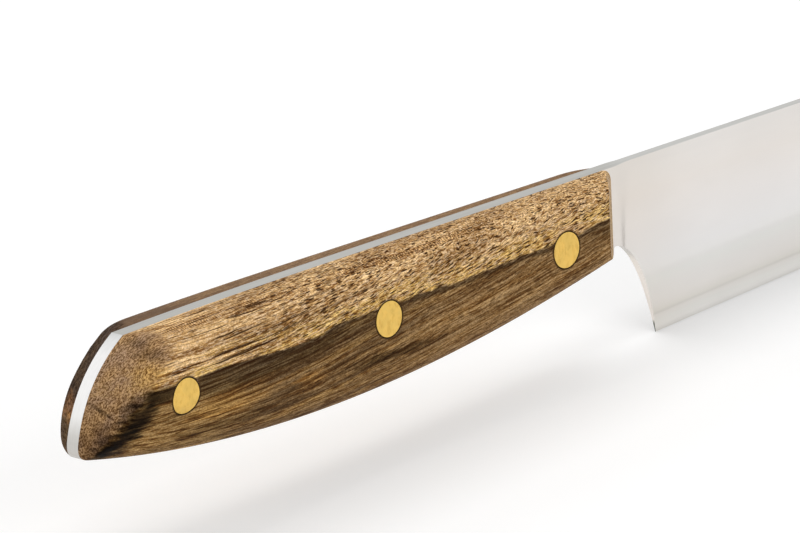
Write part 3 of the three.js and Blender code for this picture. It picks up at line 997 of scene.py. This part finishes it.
class WoodWork(NodeBench):
    """The nodes of one scale's wood, over coordinates in millimetres."""

    def __init__(self, tree: Tree, finish: WoodFinish, datum: Vector) -> None:
        """Starts work on a material.

        Args:
            tree: The material's node tree.
            finish: The finish that the material gets.
            datum: The point under the front of the scales, in metres.
        """
        super().__init__(tree)
        self.finish = finish
        whole = self.add("ShaderNodeTexCoord").outputs["Object"]
        self.at = self.place(whole, (1.0 / MM,) * 3, tuple(-part / MM for part in datum))
        self.up = self.parts(self.at)[2]

    def ends(self, figure: Socket) -> Socket:
        """Lays end grain over the figure, on the front chamfer and on the butt.

        Args:
            figure: The colour of the long grain.

        Returns:
            The colour with the end grain.
        """
        facing = self.parts(self.add("ShaderNodeNewGeometry").outputs["Normal"])[0]
        front_share = self.span(facing, 0.3, 0.6, 0.0, self.finish.front_share)
        front = self.mix(front_share, figure, self.end_grain(figure, self.finish.front_colour))
        return self.mix(self.butt_share(), front, self.end_grain(figure, self.finish.end_colour))

    def butt_share(self) -> Socket:
        """Gives how far the butt's end grain shows: all on the chamfer, fading out past its crease.

        Returns:
            The share's socket.
        """
        inset = self.add("ShaderNodeAttribute", attribute_name=INSET).outputs["Fac"]
        ragged = self.noise(self.at, (0.7, 1.6, 1.6), detail=3.0, rough=0.6)
        ragged = self.sway(ragged, self.span(self.up, -12.0, -7.0, 1.0, 5.0))
        reach = self.span(self.up, -12.0, -7.0, 0.7, 3.4)
        return self.span(self.math("DIVIDE", self.plus(inset, ragged), reach), 1.0, 0.25)

    def end_grain(self, figure: Socket, colour: Colour) -> Socket:
        """Colours the end grain, with the pores seen end on as fine dots.

        Args:
            figure: The colour of the long grain.
            colour: The plain colour of the end grain.

        Returns:
            The colour's socket.
        """
        dots = self.span(self.noise(self.at, self.finish.dot_scale, rough=0.65), 0.36, 0.64)
        speckle = self.ramp(dots, ((0.0, (0.33, 0.26, 0.21)), (0.5, 1.0), (1.0, (1.85, 2.02, 2.3))))
        patch = self.span(self.noise(self.at, (0.1, 0.32, 0.2)), 0.35, 0.65)
        warm = tuple(part * more for part, more in zip(colour, (1.25, 1.18, 0.9)))
        plain = self.tint(self.mix(patch, colour, warm), speckle)
        return self.mix(self.finish.figure_share, plain, figure)

    def stains_and_shade(self, colour: Socket) -> Socket:
        """Tints the wood by the finish's spots, with ragged borders; some spots are stains and some are
        painted shade.

        Args:
            colour: The colour so far.

        Returns:
            The colour with the stains and the painted shade.
        """
        ragged = self.math("SUBTRACT", self.noise(self.at, (0.3, 0.8, 1.3), detail=3.0), 0.5)
        for spot in self.finish.spots:
            inputs = {"Vector": self.at, "Location": spot.centre, "Rotation": spot.turn, "Scale": spot.reach}
            near = self.add("ShaderNodeMapping", inputs, vector_type="TEXTURE").outputs[0]
            ball = self.add("ShaderNodeTexGradient", {0: near}, gradient_type="SPHERICAL").outputs[1]
            share = self.times(self.span(self.plus(ball, ragged), 0.08, 0.75), self.span(ball, 0.0, 0.25))
            colour = self.tint(colour, spot.tint, self.times(share, spot.strength))
        return colour

    def hole_rims(self, colour: Socket) -> Socket:
        """Darkens the wood close round the rivets.

        Args:
            colour: The colour so far.

        Returns:
            The colour with the dark rims.
        """
        for x, z in self.finish.holes:
            flat = self.place(self.at, (1.0, 0.0, 1.0), (-x, 0.0, -z))
            away = self.add("ShaderNodeVectorMath", {0: flat}, operation="LENGTH").outputs["Value"]
            rim = self.span(away, *self.finish.rim_reach, self.finish.rim_share, 0.0)
            colour = self.mix(rim, colour, self.finish.rim_colour)
        return colour


@dataclass
class Blade:
    """The blade, neck and full tang, one piece of steel ground on its right face."""

    bench: Bench
    tang_thickness: float = 2.5
    back_grind: float = 0.2
    plunge_reach: float = 2.8
    plunge_softness: float = 1.1
    plunge_fade: float = 2.6
    spine_at_plunge: float = 1.75
    spine_at_tip: float = 0.9
    bevel_width: float = 11.0
    bevel_relief: float = 0.3
    edge_bevel_width: float = 3.4
    edge_bevel_thickness: float = 0.65
    edge_land: float = 0.12
    hollow_depth: float = 0.3
    hollow_rim_top: float = 5.0
    hollow_rim_edge: float = 2.6
    hollow_rim_heel: float = 9.0
    crease: float = 0.3
    tang_columns: int = 60
    neck_columns: int = 29
    least_column: float = 0.01
    plain_rows: tuple[float, ...] = (
        1.2, 5.0, 6.8, 8.6, 13.0, 15.0, 17.0, 19.0, 21.0, 23.0, 24.6, 27.2, 28.4, 29.6, 30.5,
    )
    wall_normal: float = 0.6
    butt_normal: float = 0.3
    arch_normal: float = 0.5
    slack: float = 1e-3
    least_height: float = 1e-6

    def stations(self) -> list[float]:
        """Lists the places along the knife that its mesh has columns at.

        Returns:
            The places in order, from the butt to the tip.
        """
        view = self.bench.view
        tang = np.linspace(view.butt_top.x, 0.0, self.tang_columns)
        neck = np.linspace(0.0, 2 * self.plunge_reach, self.neck_columns)
        arch = view.arch[view.arch[:, 0] > 2 * self.plunge_reach, 0]
        curves = (view.butt[:, 0], view.corner[:, 0], tang, neck, arch, view.edge[:, 0])
        places = np.unique(np.concatenate(curves))
        apart = np.diff(places, prepend=places[0] - 1.0) > self.least_column
        return places[apart | np.isin(places, (view.butt_top.x, 0.0))].tolist()

    def rows(self) -> list[float]:
        """Lists the shares of the height that its mesh has rows at.

        Returns:
            The shares in order, from the edge to the spine.
        """
        whole = self.bench.view.heel_height
        heights = [0.0, whole, self.hollow_rim_edge, whole - self.hollow_rim_top, *self.plain_rows]
        for bevel in (self.edge_bevel_width, self.bevel_width):
            heights += [bevel - self.crease, bevel, bevel + self.crease]
        return [height / whole for height in sorted(heights)]

    def ground(self, x: float, rise: float = 0.0) -> float:
        """Gives how much of the grind shows at x, from none on the tang to all past the plunge.

        Args:
            x: The place along the knife.
            rise: The share of the neck's height, which softens the turn towards the spine.

        Returns:
            The share from 0 to 1.
        """
        soft = blend(self.plunge_softness, self.plunge_fade, ease(rise))
        return ease((x - self.plunge_reach + soft) / (2 * soft))

    def face_at(self, x: float, z: float) -> float:
        """Gives where the right face lies.

        Args:
            x: The place along the knife.
            z: The height.

        Returns:
            The face's y.
        """
        view = self.bench.view
        back = self.tang_thickness / 2 - self.back_grind
        low, top = view.edge_at(x), view.top_at(x)
        size = (top - low) / view.heel_height
        reach = view.heel_reach + view.blade_length - self.plunge_reach
        ahead = min(max((x - self.plunge_reach) / reach, 0.0), 1.0)
        spine = blend(self.spine_at_plunge, self.spine_at_tip, ahead)
        ridge = spine - self.bevel_relief
        narrow = self.edge_bevel_thickness * ridge / (self.spine_at_plunge - self.bevel_relief)
        heights = (low, low + self.edge_bevel_width * size, low + self.bevel_width * size, top)
        thick = self.edge_land
        if top > low:
            thick = float(np.interp(z, heights, (self.edge_land, narrow, ridge, spine)))
        rise = 1.0 + z / view.neck_height
        return blend(-self.tang_thickness / 2, back - thick, self.ground(x, rise))

    def back_at(self, x: float, z: float) -> float:
        """Gives where the flat back lies, with its shallow hollow.

        Args:
            x: The place along the knife.
            z: The height.

        Returns:
            The back's y.
        """
        view = self.bench.view
        plane = self.tang_thickness / 2 - self.back_grind * self.ground(x)
        shares = np.linspace(0.0, 1.0, len(view.edge))
        moved = view.edge[:, 0] + self.hollow_rim_heel * (1.0 - shares)
        if x <= moved[0]:
            return plane
        share = float(np.interp(x, moved, shares))
        place = float(np.interp(share, shares, view.edge[:, 0]))
        size = (view.top_at(place) - view.edge_at(place)) / view.heel_height
        top = view.top_at(place) - self.hollow_rim_top * size
        low = view.edge_at(place) + self.hollow_rim_edge * size
        if not low < z < top:
            return plane
        part = (top - z) / (top - low)
        depth = self.hollow_depth * size * math.sqrt(max(math.sin(math.pi * share), 0.0))
        return plane - 4.0 * depth * part * (1.0 - part)

    def face_of(self, part: bmesh.types.BMFace) -> SteelFace:
        """Tells which of the blade's surfaces a face belongs to.

        Args:
            part: A face of the blade's shape.

        Returns:
            The surface.
        """
        along = [vert.co.x for vert in part.verts]
        if part.normal.y > self.wall_normal:
            return SteelFace.BACK
        if part.normal.y < -self.wall_normal:
            return SteelFace.FLAT
        behind = max(along) <= self.bench.view.butt_top.x + self.slack
        if behind and part.normal.x < -self.butt_normal:
            return SteelFace.BUTT
        if min(along) > 0.0 and part.normal.z < self.arch_normal:
            return SteelFace.ARCH
        return SteelFace.SPINE

    def mark_rise(self, shape: Shape) -> None:
        """Marks how far up from the cutting edge each point lies, for the bevels' finish and their painted
        reflection and shade.

        Args:
            shape: The blade's shape in millimetres.
        """
        view = self.bench.view
        mark = shape.verts.layers.float.new(RISE)
        for vert in shape.verts:
            low, top = view.edge_at(vert.co.x), view.top_at(vert.co.x)
            vert[mark] = (vert.co.z - low) / (top - low) if top - low > self.least_height else 0.0

    def build(self, finishes: Sequence[Material]) -> Piece:
        """Builds and dresses the blade.

        Args:
            finishes: The materials in the order of SteelFace.

        Returns:
            The piece.
        """
        view = self.bench.view
        stations, rows = self.stations(), self.rows()

        def point(x: float, share: float, side_at: Callable[[float, float], float]) -> Vector:
            """Gives the point of one side at x, by its share of the height."""
            z = blend(view.low_at(x), view.top_at(x), share)
            return Vector((x, side_at(x, z), z))

        shape = skin(
            len(stations) - 1,
            len(rows) - 1,
            lambda column, row: point(stations[column], rows[row], self.face_at),
            lambda column, row: point(stations[column], rows[row], self.back_at),
        )
        for part in shape.faces:
            part.material_index = self.face_of(part).value
        self.mark_rise(shape)
        return self.bench.set_up(shape, "ground_blade", "blade", "blade_steel", finishes)


@dataclass
class Scale:
    """One wooden scale, with a crowned outside and chamfered ends."""

    bench: Bench
    side: Side
    butt_chamfer: float
    half_tang: float = 1.25
    rear_thickness: float = 7.2
    front_thickness: float = 4.9
    rear_crown: float = 4.2
    front_crown: float = 3.3
    rear_lower_crown: float = 12.0
    front_lower_crown: float = 3.8
    lower_power: float = 1.6
    lower_chamfer: float = 0.5
    front_chamfer: float = 1.15
    front_corner: float = 2.4
    butt_round: float = 2.0
    lower_round: float = 2.0
    round_fade: float = 4.5
    round_limit: float = 0.45
    bend_columns: int = 8
    columns: int = 112
    first_step: float = 0.2
    tries: int = 24
    crown_rows: int = 14
    flat_rows: int = 4
    lower_rows: int = 24

    def section(self, x: float, row: int) -> tuple[float, float]:
        """Gives one point of the scale's outside at x.

        Args:
            x: The place along the handle.
            row: The row, counted from the top.

        Returns:
            How far the point stands out from the tang, and its height.
        """
        view = self.bench.view
        share = min(max(-x / view.handle_length, 0.0), 1.0)
        thick = blend(self.front_thickness, self.rear_thickness, share)
        crown = blend(self.front_crown, self.rear_crown, share)
        lower = blend(self.front_lower_crown, self.rear_lower_crown, share)
        low = view.low_at(min(x, 0.0))
        if row <= self.crown_rows:
            turn = math.pi / 2 * row / self.crown_rows
            return thick * math.sin(turn), view.spine_at(x) + crown * (math.cos(turn) - 1.0)
        row -= self.crown_rows
        if row <= self.flat_rows:
            return thick, blend(view.spine_at(x) - crown, low + lower, row / self.flat_rows)
        turn = math.pi / 2 * (row - self.flat_rows) / self.lower_rows
        power = 2.0 / self.lower_power
        out = thick * max(math.cos(turn), 0.0) ** power
        return out, low + lower * (1.0 - math.sin(turn) ** power)

    def butt_slope(self, z: float) -> float:
        """Gives how far the butt chamfer runs ahead for each millimetre out from the tang."""
        return blend(self.butt_chamfer, self.lower_chamfer, -z / self.bench.view.butt_height)

    def rear_end(self, out: float, z: float) -> float:
        """Gives where the butt chamfer lies, out from the tang and at a height."""
        return self.bench.view.butt_at(z) + self.butt_slope(z) * out

    def front_end(self, out: float, z: float) -> float:
        """Gives where the front chamfer lies, with its rounded upper corner."""
        short = max(1.0 - math.sqrt(max(-z, 0.0) / self.front_corner), 0.0)
        return -self.front_corner * short * short - self.front_chamfer * out

    def rounding(self, out: float, z: float) -> float:
        """Gives the reach of the rounded crease at the butt, less where the chamfer is short."""
        reach = blend(self.butt_round, self.lower_round, ease(-z / self.round_fade))
        return min(reach, self.round_limit * out * math.hypot(1.0, self.butt_slope(z)))

    def outside(self, row: int, share: float, bend: float) -> Vector:
        """Finds a point of the outside, where the section and the two ends agree.

        Args:
            row: The row, counted from the top.
            share: The place along the row, from the butt chamfer to the front one.
            bend: How much of the rounding is kept clear ahead of the butt chamfer, from 0 to 1.

        Returns:
            The point as (x, distance from the tang, height).
        """
        x = blend(self.bench.view.rear[0, 0], 0.0, share)
        out, z = 0.0, 0.0
        for _ in range(self.tries):
            out, z = self.section(x, row)
            rear = self.rear_end(out, z) + bend * self.rounding(out, z)
            x = blend(rear, self.front_end(out, z), share)
        return Vector((x, out, z))

    def point(self, column: int, row: int, on_tang: bool) -> Vector:
        """Finds a point of the scale. The first columns round the crease at the butt.

        Args:
            column: The column, counted from the butt.
            row: The row, counted from the top.
            on_tang: True for the inside, which lies on the tang.

        Returns:
            The point in millimetres.
        """
        step = max(column - self.bend_columns, 0) / (self.columns - self.bend_columns)
        share = step * blend(self.first_step, 1.0, step)
        spot = self.outside(row, share, 1.0)
        if column < self.bend_columns:
            sharp = self.outside(row, 0.0, 0.0)
            slope = self.butt_slope(sharp.z)
            back = Vector((slope, 1.0, 0.0)) * (self.rounding(sharp.y, sharp.z) / math.hypot(1.0, slope))
            turn = column / self.bend_columns
            start = sharp - back
            spot = start.lerp(sharp, turn).lerp(sharp.lerp(spot, turn), turn)
        if on_tang:
            rear = self.rear_end(spot.y, spot.z) - self.rear_end(0.0, spot.z)
            front = self.front_end(spot.y, spot.z) - self.front_end(0.0, spot.z)
            spot = Vector((spot.x - blend(rear, front, share), 0.0, spot.z))
        return Vector((spot.x, self.side.value * (self.half_tang + spot.y), spot.z))

    def mark_inset(self, shape: Shape) -> None:
        """Marks how far ahead of the butt chamfer each point lies, for the end grain.

        Args:
            shape: The scale's shape in millimetres.
        """
        mark = shape.verts.layers.float.new(INSET)
        for vert in shape.verts:
            out = max(abs(vert.co.y) - self.half_tang, 0.0)
            vert[mark] = vert.co.x - self.rear_end(out, vert.co.z)

    def build(self, finish: Material) -> Piece:
        """Builds and dresses the scale.

        Args:
            finish: The wood.

        Returns:
            The piece.
        """
        name = self.side.name.lower()
        shape = skin(
            self.columns,
            self.crown_rows + self.flat_rows + self.lower_rows,
            lambda column, row: self.point(column, row, False),
            lambda column, row: self.point(column, row, True),
        )
        self.mark_inset(shape)
        return self.bench.set_up(shape, f"crowned_{name}_scale", f"{name}_scale", "scale_wood", [finish])


@dataclass
class Rivets:
    """The six rivet halves, whose CAD solids stay."""

    layout: RivetLayout

    def dress(self, finish: Material) -> None:
        """Gives every half its brass.

        Args:
            finish: The brass.
        """
        for place in self.layout.places:
            for half in ("post", "barrel"):
                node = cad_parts[f"{place}_rivet_{half}"]
                node.data.materials.clear()
                node.data.materials.append(finish)
                LOG.info("dressed %s", node.name)


@dataclass(frozen=True)
class Lamp:
    """A soft square lamp, with its place and side in metres and its power in watts."""

    name: str
    spot: Colour
    size: float
    power: float

    def hang(self, target: Colour) -> None:
        """Hangs the lamp so that it faces a target.

        Args:
            target: The target's place in metres.
        """
        light = bpy.data.lights.new(self.name, "AREA")
        light.shape = "SQUARE"
        light.size = self.size
        light.energy = self.power
        holder = bpy.data.objects.new(self.name, light)
        holder.location = self.spot
        holder.visible_glossy = False
        aim = Vector(target) - Vector(self.spot)
        holder.rotation_euler = aim.to_track_quat("-Z", "Y").to_euler()
        bpy.context.collection.objects.link(holder)


@dataclass
class Studio:
    """The plain pale floor, the soft lights and the white surroundings."""

    view: SideView
    datum: Vector
    floor_size: float = 3.0
    floor_colour: Colour = (0.86, 0.86, 0.86)
    seen_colour: Colour = (0.95, 0.95, 0.95)
    white: Colour = (1.0, 1.0, 1.0)
    glow: float = 0.13
    ambient: float = 0.4
    target: Colour = (-0.08, 0.0, 0.02)
    lamps: tuple[Lamp, ...] = (
        Lamp("key_lamp", (-0.08, 0.12, 1.2), 1.4, 8.4),
        Lamp("fill_lamp", (-0.2, -1.2, 0.5), 1.0, 6.0),
        Lamp("back_lamp", (0.0, 1.2, 0.6), 1.0, 3.0),
    )

    def floor(self) -> None:
        """Lays the floor along the straight of the cutting edge, white to the eye but shaded by the knife."""
        shape = bmesh.new()
        bmesh.ops.create_grid(shape, x_segments=1, y_segments=1, size=self.floor_size)
        tilt = Matrix.Rotation(-math.atan(self.view.edge_rise), 4, "Y")
        heel = self.datum + Vector((self.view.heel_reach, 0.0, -self.view.heel_height)) * MM
        bmesh.ops.transform(shape, matrix=Matrix.Translation(heel) @ tilt, verts=shape.verts[:])
        sheet = hand_over(shape, "studio_floor")
        material, unused = new_material("pale floor")
        bench = NodeBench(material.node_tree)
        bench.tree.nodes.remove(unused)
        plain = bench.add("ShaderNodeBsdfDiffuse", {"Color": self.floor_colour}).outputs[0]
        shaded = bench.add("ShaderNodeBsdfDiffuse", {"Color": self.seen_colour}).outputs[0]
        glow = bench.add("ShaderNodeEmission", {"Color": self.white, "Strength": self.glow}).outputs[0]
        lifted = bench.add("ShaderNodeAddShader", {0: shaded, 1: glow}).outputs[0]
        both = bench.add("ShaderNodeMixShader", {0: self.seen(bench), 1: plain, 2: lifted}).outputs[0]
        bench.put(bench.tree.nodes["Material Output"].inputs["Surface"], both)
        sheet.data.materials.append(material)

    def seen(self, bench: NodeBench) -> Socket:
        """Gives 1 for what the camera sees, straight, in gloss or through glass, and 0 for the rest.

        Args:
            bench: The bench of the floor or the world.

        Returns:
            The mask's socket.
        """
        path = bench.add("ShaderNodeLightPath").outputs
        either = bench.math("MAXIMUM", path["Is Camera Ray"], path["Is Glossy Ray"])
        either = bench.math("MAXIMUM", either, path["Is Transmission Ray"])
        return bench.times(either, bench.math("LESS_THAN", path["Diffuse Depth"], 0.5))

    def surroundings(self) -> None:
        """Sets a white world that lights the knife softly."""
        world = bpy.data.worlds.new("studio_white")
        world.use_nodes = True
        bpy.context.scene.world = world
        bench = NodeBench(world.node_tree)
        ground = world.node_tree.nodes["Background"]
        bench.put(ground.inputs["Color"], self.white)
        bench.put(ground.inputs["Strength"], bench.span(self.seen(bench), 0.0, 1.0, self.ambient, 1.0))

    def build(self) -> None:
        """Sets up the whole studio."""
        bpy.context.scene.view_settings.view_transform = "Standard"
        self.floor()
        self.surroundings()
        for lamp in self.lamps:
            lamp.hang(self.target)


@dataclass
class Viewpoint:
    """The camera, far off with a long lens, seeing the butt and the right side from a little above."""

    datum: Vector
    heading: float = 44.68
    dip: float = 16.74
    roll: float = -2.35
    target: Colour = (-48.33, 0.0, -5.227)
    distance: float = 3.9473
    lens: float = 1100.0
    farthest: float = 100.0

    def build(self) -> None:
        """Sets up the camera."""
        turn, dip, roll = (math.radians(angle) for angle in (self.heading, self.dip, self.roll))
        ahead = Vector((math.cos(dip) * math.cos(turn), math.cos(dip) * math.sin(turn), -math.sin(dip)))
        level = ahead.cross(Vector((0.0, 0.0, 1.0))).normalized()
        rise = level.cross(ahead)
        right = level * math.cos(roll) + rise * math.sin(roll)
        up = rise * math.cos(roll) - level * math.sin(roll)
        pose = Matrix((right, up, -ahead)).transposed().to_4x4()
        pose.translation = self.datum + Vector(self.target) * MM - ahead * self.distance
        camera = bpy.data.cameras.new("viewpoint")
        camera.lens = self.lens
        camera.clip_end = self.farthest
        holder = bpy.data.objects.new("viewpoint", camera)
        holder.matrix_world = pose
        bpy.context.collection.objects.link(holder)
        bpy.context.scene.camera = holder


# The colour of the painted shade along the butt crease.
PAINTED_CREASE_SHADE = (0.06, 0.05, 0.045)
# Used for painted shade at the top of the butt crease and for dark patches along the bottom.
DARK = (0.26, 0.23, 0.2)
LEAN = (0.0, -0.765, 0.0)
# The near scale's spots: stains, and painted shade along the butt crease and on the low end of the butt
# facet.
NEAR_STAINS_AND_SHADE = (
    # painted shade: the low end of the butt facet darker
    Spot((-120.5, -4.8, -17.4), (8.5, 8.0, 7.5), (0.38, 0.345, 0.345), 0.9),
    Spot((-114.5, -8.0, -6.3), (6.5, 4.5, 4.4), (1.3, 1.25, 0.8), 0.7),
    Spot((-96.0, -8.0, -15.2), (14.0, 6.0, 3.0), (1.45, 1.35, 1.05), 0.8),
    # painted shade: the black patch along the butt crease, fading ahead of it
    Spot((-112.0, -8.3, -9.8), (8.0, 5.0, 2.6), PAINTED_CREASE_SHADE, 0.85),
    Spot((-116.2, -7.2, -12.7), (6.5, 5.0, 4.8), PAINTED_CREASE_SHADE, 0.95, LEAN),
    Spot((-118.9, -5.1, -16.2), (9.0, 5.0, 4.2), PAINTED_CREASE_SHADE, 0.9, LEAN),
    Spot((-121.3, -4.7, -18.2), (5.5, 4.0, 3.0), PAINTED_CREASE_SHADE, 0.85, LEAN),
    Spot((-120.75, -3.2, -11.15), (3.4, 0.8, 0.8), PAINTED_CREASE_SHADE, 0.95, (0.0, 0.475, -1.185)),
    # painted shade at the top of the butt crease
    Spot((-112.6, -6.8, -3.2), (4.0, 4.0, 1.3), DARK, 0.6),
    Spot((-112.6, -4.2, -1.6), (3.6, 3.0, 1.2), DARK, 0.45),
    Spot((-99.0, -8.0, -18.8), (20.0, 6.0, 2.0), DARK, 0.75),
    Spot((-76.9, -7.5, -15.5), (6.0, 4.0, 1.4), (1.9, 1.7, 1.2), 0.7),
    Spot((-58.4, -7.3, -16.4), (17.0, 5.0, 1.6), DARK, 0.85),
)
FAR_STAINS = (
    Spot((-122.0, 4.0, -11.6), (9.0, 8.0, 3.0), (3.6, 2.9, 2.0), 0.9),
    Spot((-124.0, 3.0, -18.6), (7.0, 5.0, 2.2), (1.6, 1.5, 1.4), 0.6),
)


def steel_finishes(view: SideView, datum: Vector) -> tuple[SteelFinish, ...]:
    """Lists the finishes of the blade.

    Args:
        view: The knife's outline.
        datum: The point under the front of the scales, in metres.

    Returns:
        The finishes in the order of SteelFace.
    """
    arch_top = (view.heel_height - view.neck_height + view.neck_step) * MM
    butt_span = (datum.z - view.butt_height * MM, datum.z)
    neck = (datum.x + 1.0 * MM, datum.x + 24.0 * MM)
    plunge = (datum.x - 1.0 * MM, datum.x + 5.0 * MM)
    # The flat face's tones by rise hold painted reflection and shade.
    flat = SteelFinish(
        "satin steel", (0.765, 0.736, 0.706), (0.27, 0.22), (60.0, 2400.0, 2400.0), line_depth=0.008,
        # the rear tint here is a painted warm reflection of the wood at the neck
        tones=BEVEL_TONES_AND_PAINTED_REFLECTION, tone_along=ToneAlong.RISE, rear_tint_and_painted_reflection=(0.955, 0.935, 0.905), rear_span=neck,
    )
    spine = SteelFinish(
        "ground spine", (0.555, 0.55, 0.525), (0.39, 0.34), (60.0, 3200.0, 3200.0), line_depth=0.08,
        rear_tint_and_painted_reflection=(0.85, 0.845, 0.83), rear_span=plunge,
    )
    # The butt's tones by height are painted reflection.
    butt = SteelFinish(
        "bright butt with painted reflection", (0.92, 0.91, 0.90), (0.33, 0.28), (1200.0, 3600.0, 120.0), line_depth=0.06,
        tones=BUTT_PAINTED_REFLECTION, tone_along=ToneAlong.HEIGHT, height_span=butt_span,
    )
    # The arch's tones by height are painted shade at the heel's corner and the top of the arch.
    arch = SteelFinish(
        "eased arch", (0.84, 0.785, 0.73), (0.37, 0.32), (400.0, 2400.0, 400.0), line_depth=0.04,
        tones=ARCH_PAINTED_SHADE, tone_along=ToneAlong.HEIGHT, height_span=(0.0, arch_top),
    )
    back = SteelFinish(
        "satin back", (0.755, 0.728, 0.70), (0.29, 0.24), (60.0, 2400.0, 2400.0), line_depth=0.012,
    )
    return flat, spine, butt, arch, back


def build_scales(bench: Bench, effects: SharedEffects) -> None:
    """Builds and dresses the two scales.

    Args:
        bench: The bench that sets up the pieces.
        effects: The shared node groups.
    """
    holes = tuple(bench.rivets.places.values())
    near_wood = WoodFinish("streaked wood", NEAR_STAINS_AND_SHADE, holes, (0.27, 0.16, 0.088), (0.47, 0.33, 0.2))
    # The far scale's end grain is painted far darker than the near one's, in part painted shade on its butt
    # facet.
    far_wood = WoodFinish(
        "flipped streaked wood", FAR_STAINS, holes, (0.05, 0.03, 0.02), (0.2, 0.122, 0.066),
        dot_scale=(0.6, 1.2, 1.9), gloss=0.003, flip=-1.0, shift=(31.0, 0.0, -20.5), top_share=0.55,
    )
    near = Scale(bench, Side.RIGHT, 0.95)
    far = Scale(
        bench, Side.LEFT, 1.17, rear_crown=2.3, front_crown=3.2, front_chamfer=2.2,
        butt_round=4.5, lower_round=0.8,
    )
    for scale, wood in ((near, near_wood), (far, far_wood)):
        scale.build(wood.material(effects, bench.datum()))


def main() -> None:
    """Sets up the camera and the studio, then builds and dresses the knife."""
    logging.basicConfig(level=logging.INFO, format="%(message)s")
    view = SideView()
    rivets = RivetLayout()
    bench = Bench(view, rivets)
    datum = bench.datum()
    Viewpoint(datum).build()
    Studio(view, datum).build()
    effects = SharedEffects()
    Blade(bench).build([finish.material(effects) for finish in steel_finishes(view, datum)])
    build_scales(bench, effects)
    Rivets(rivets).dress(BrassFinish().material(effects))


if __name__ == "__main__":
    main()
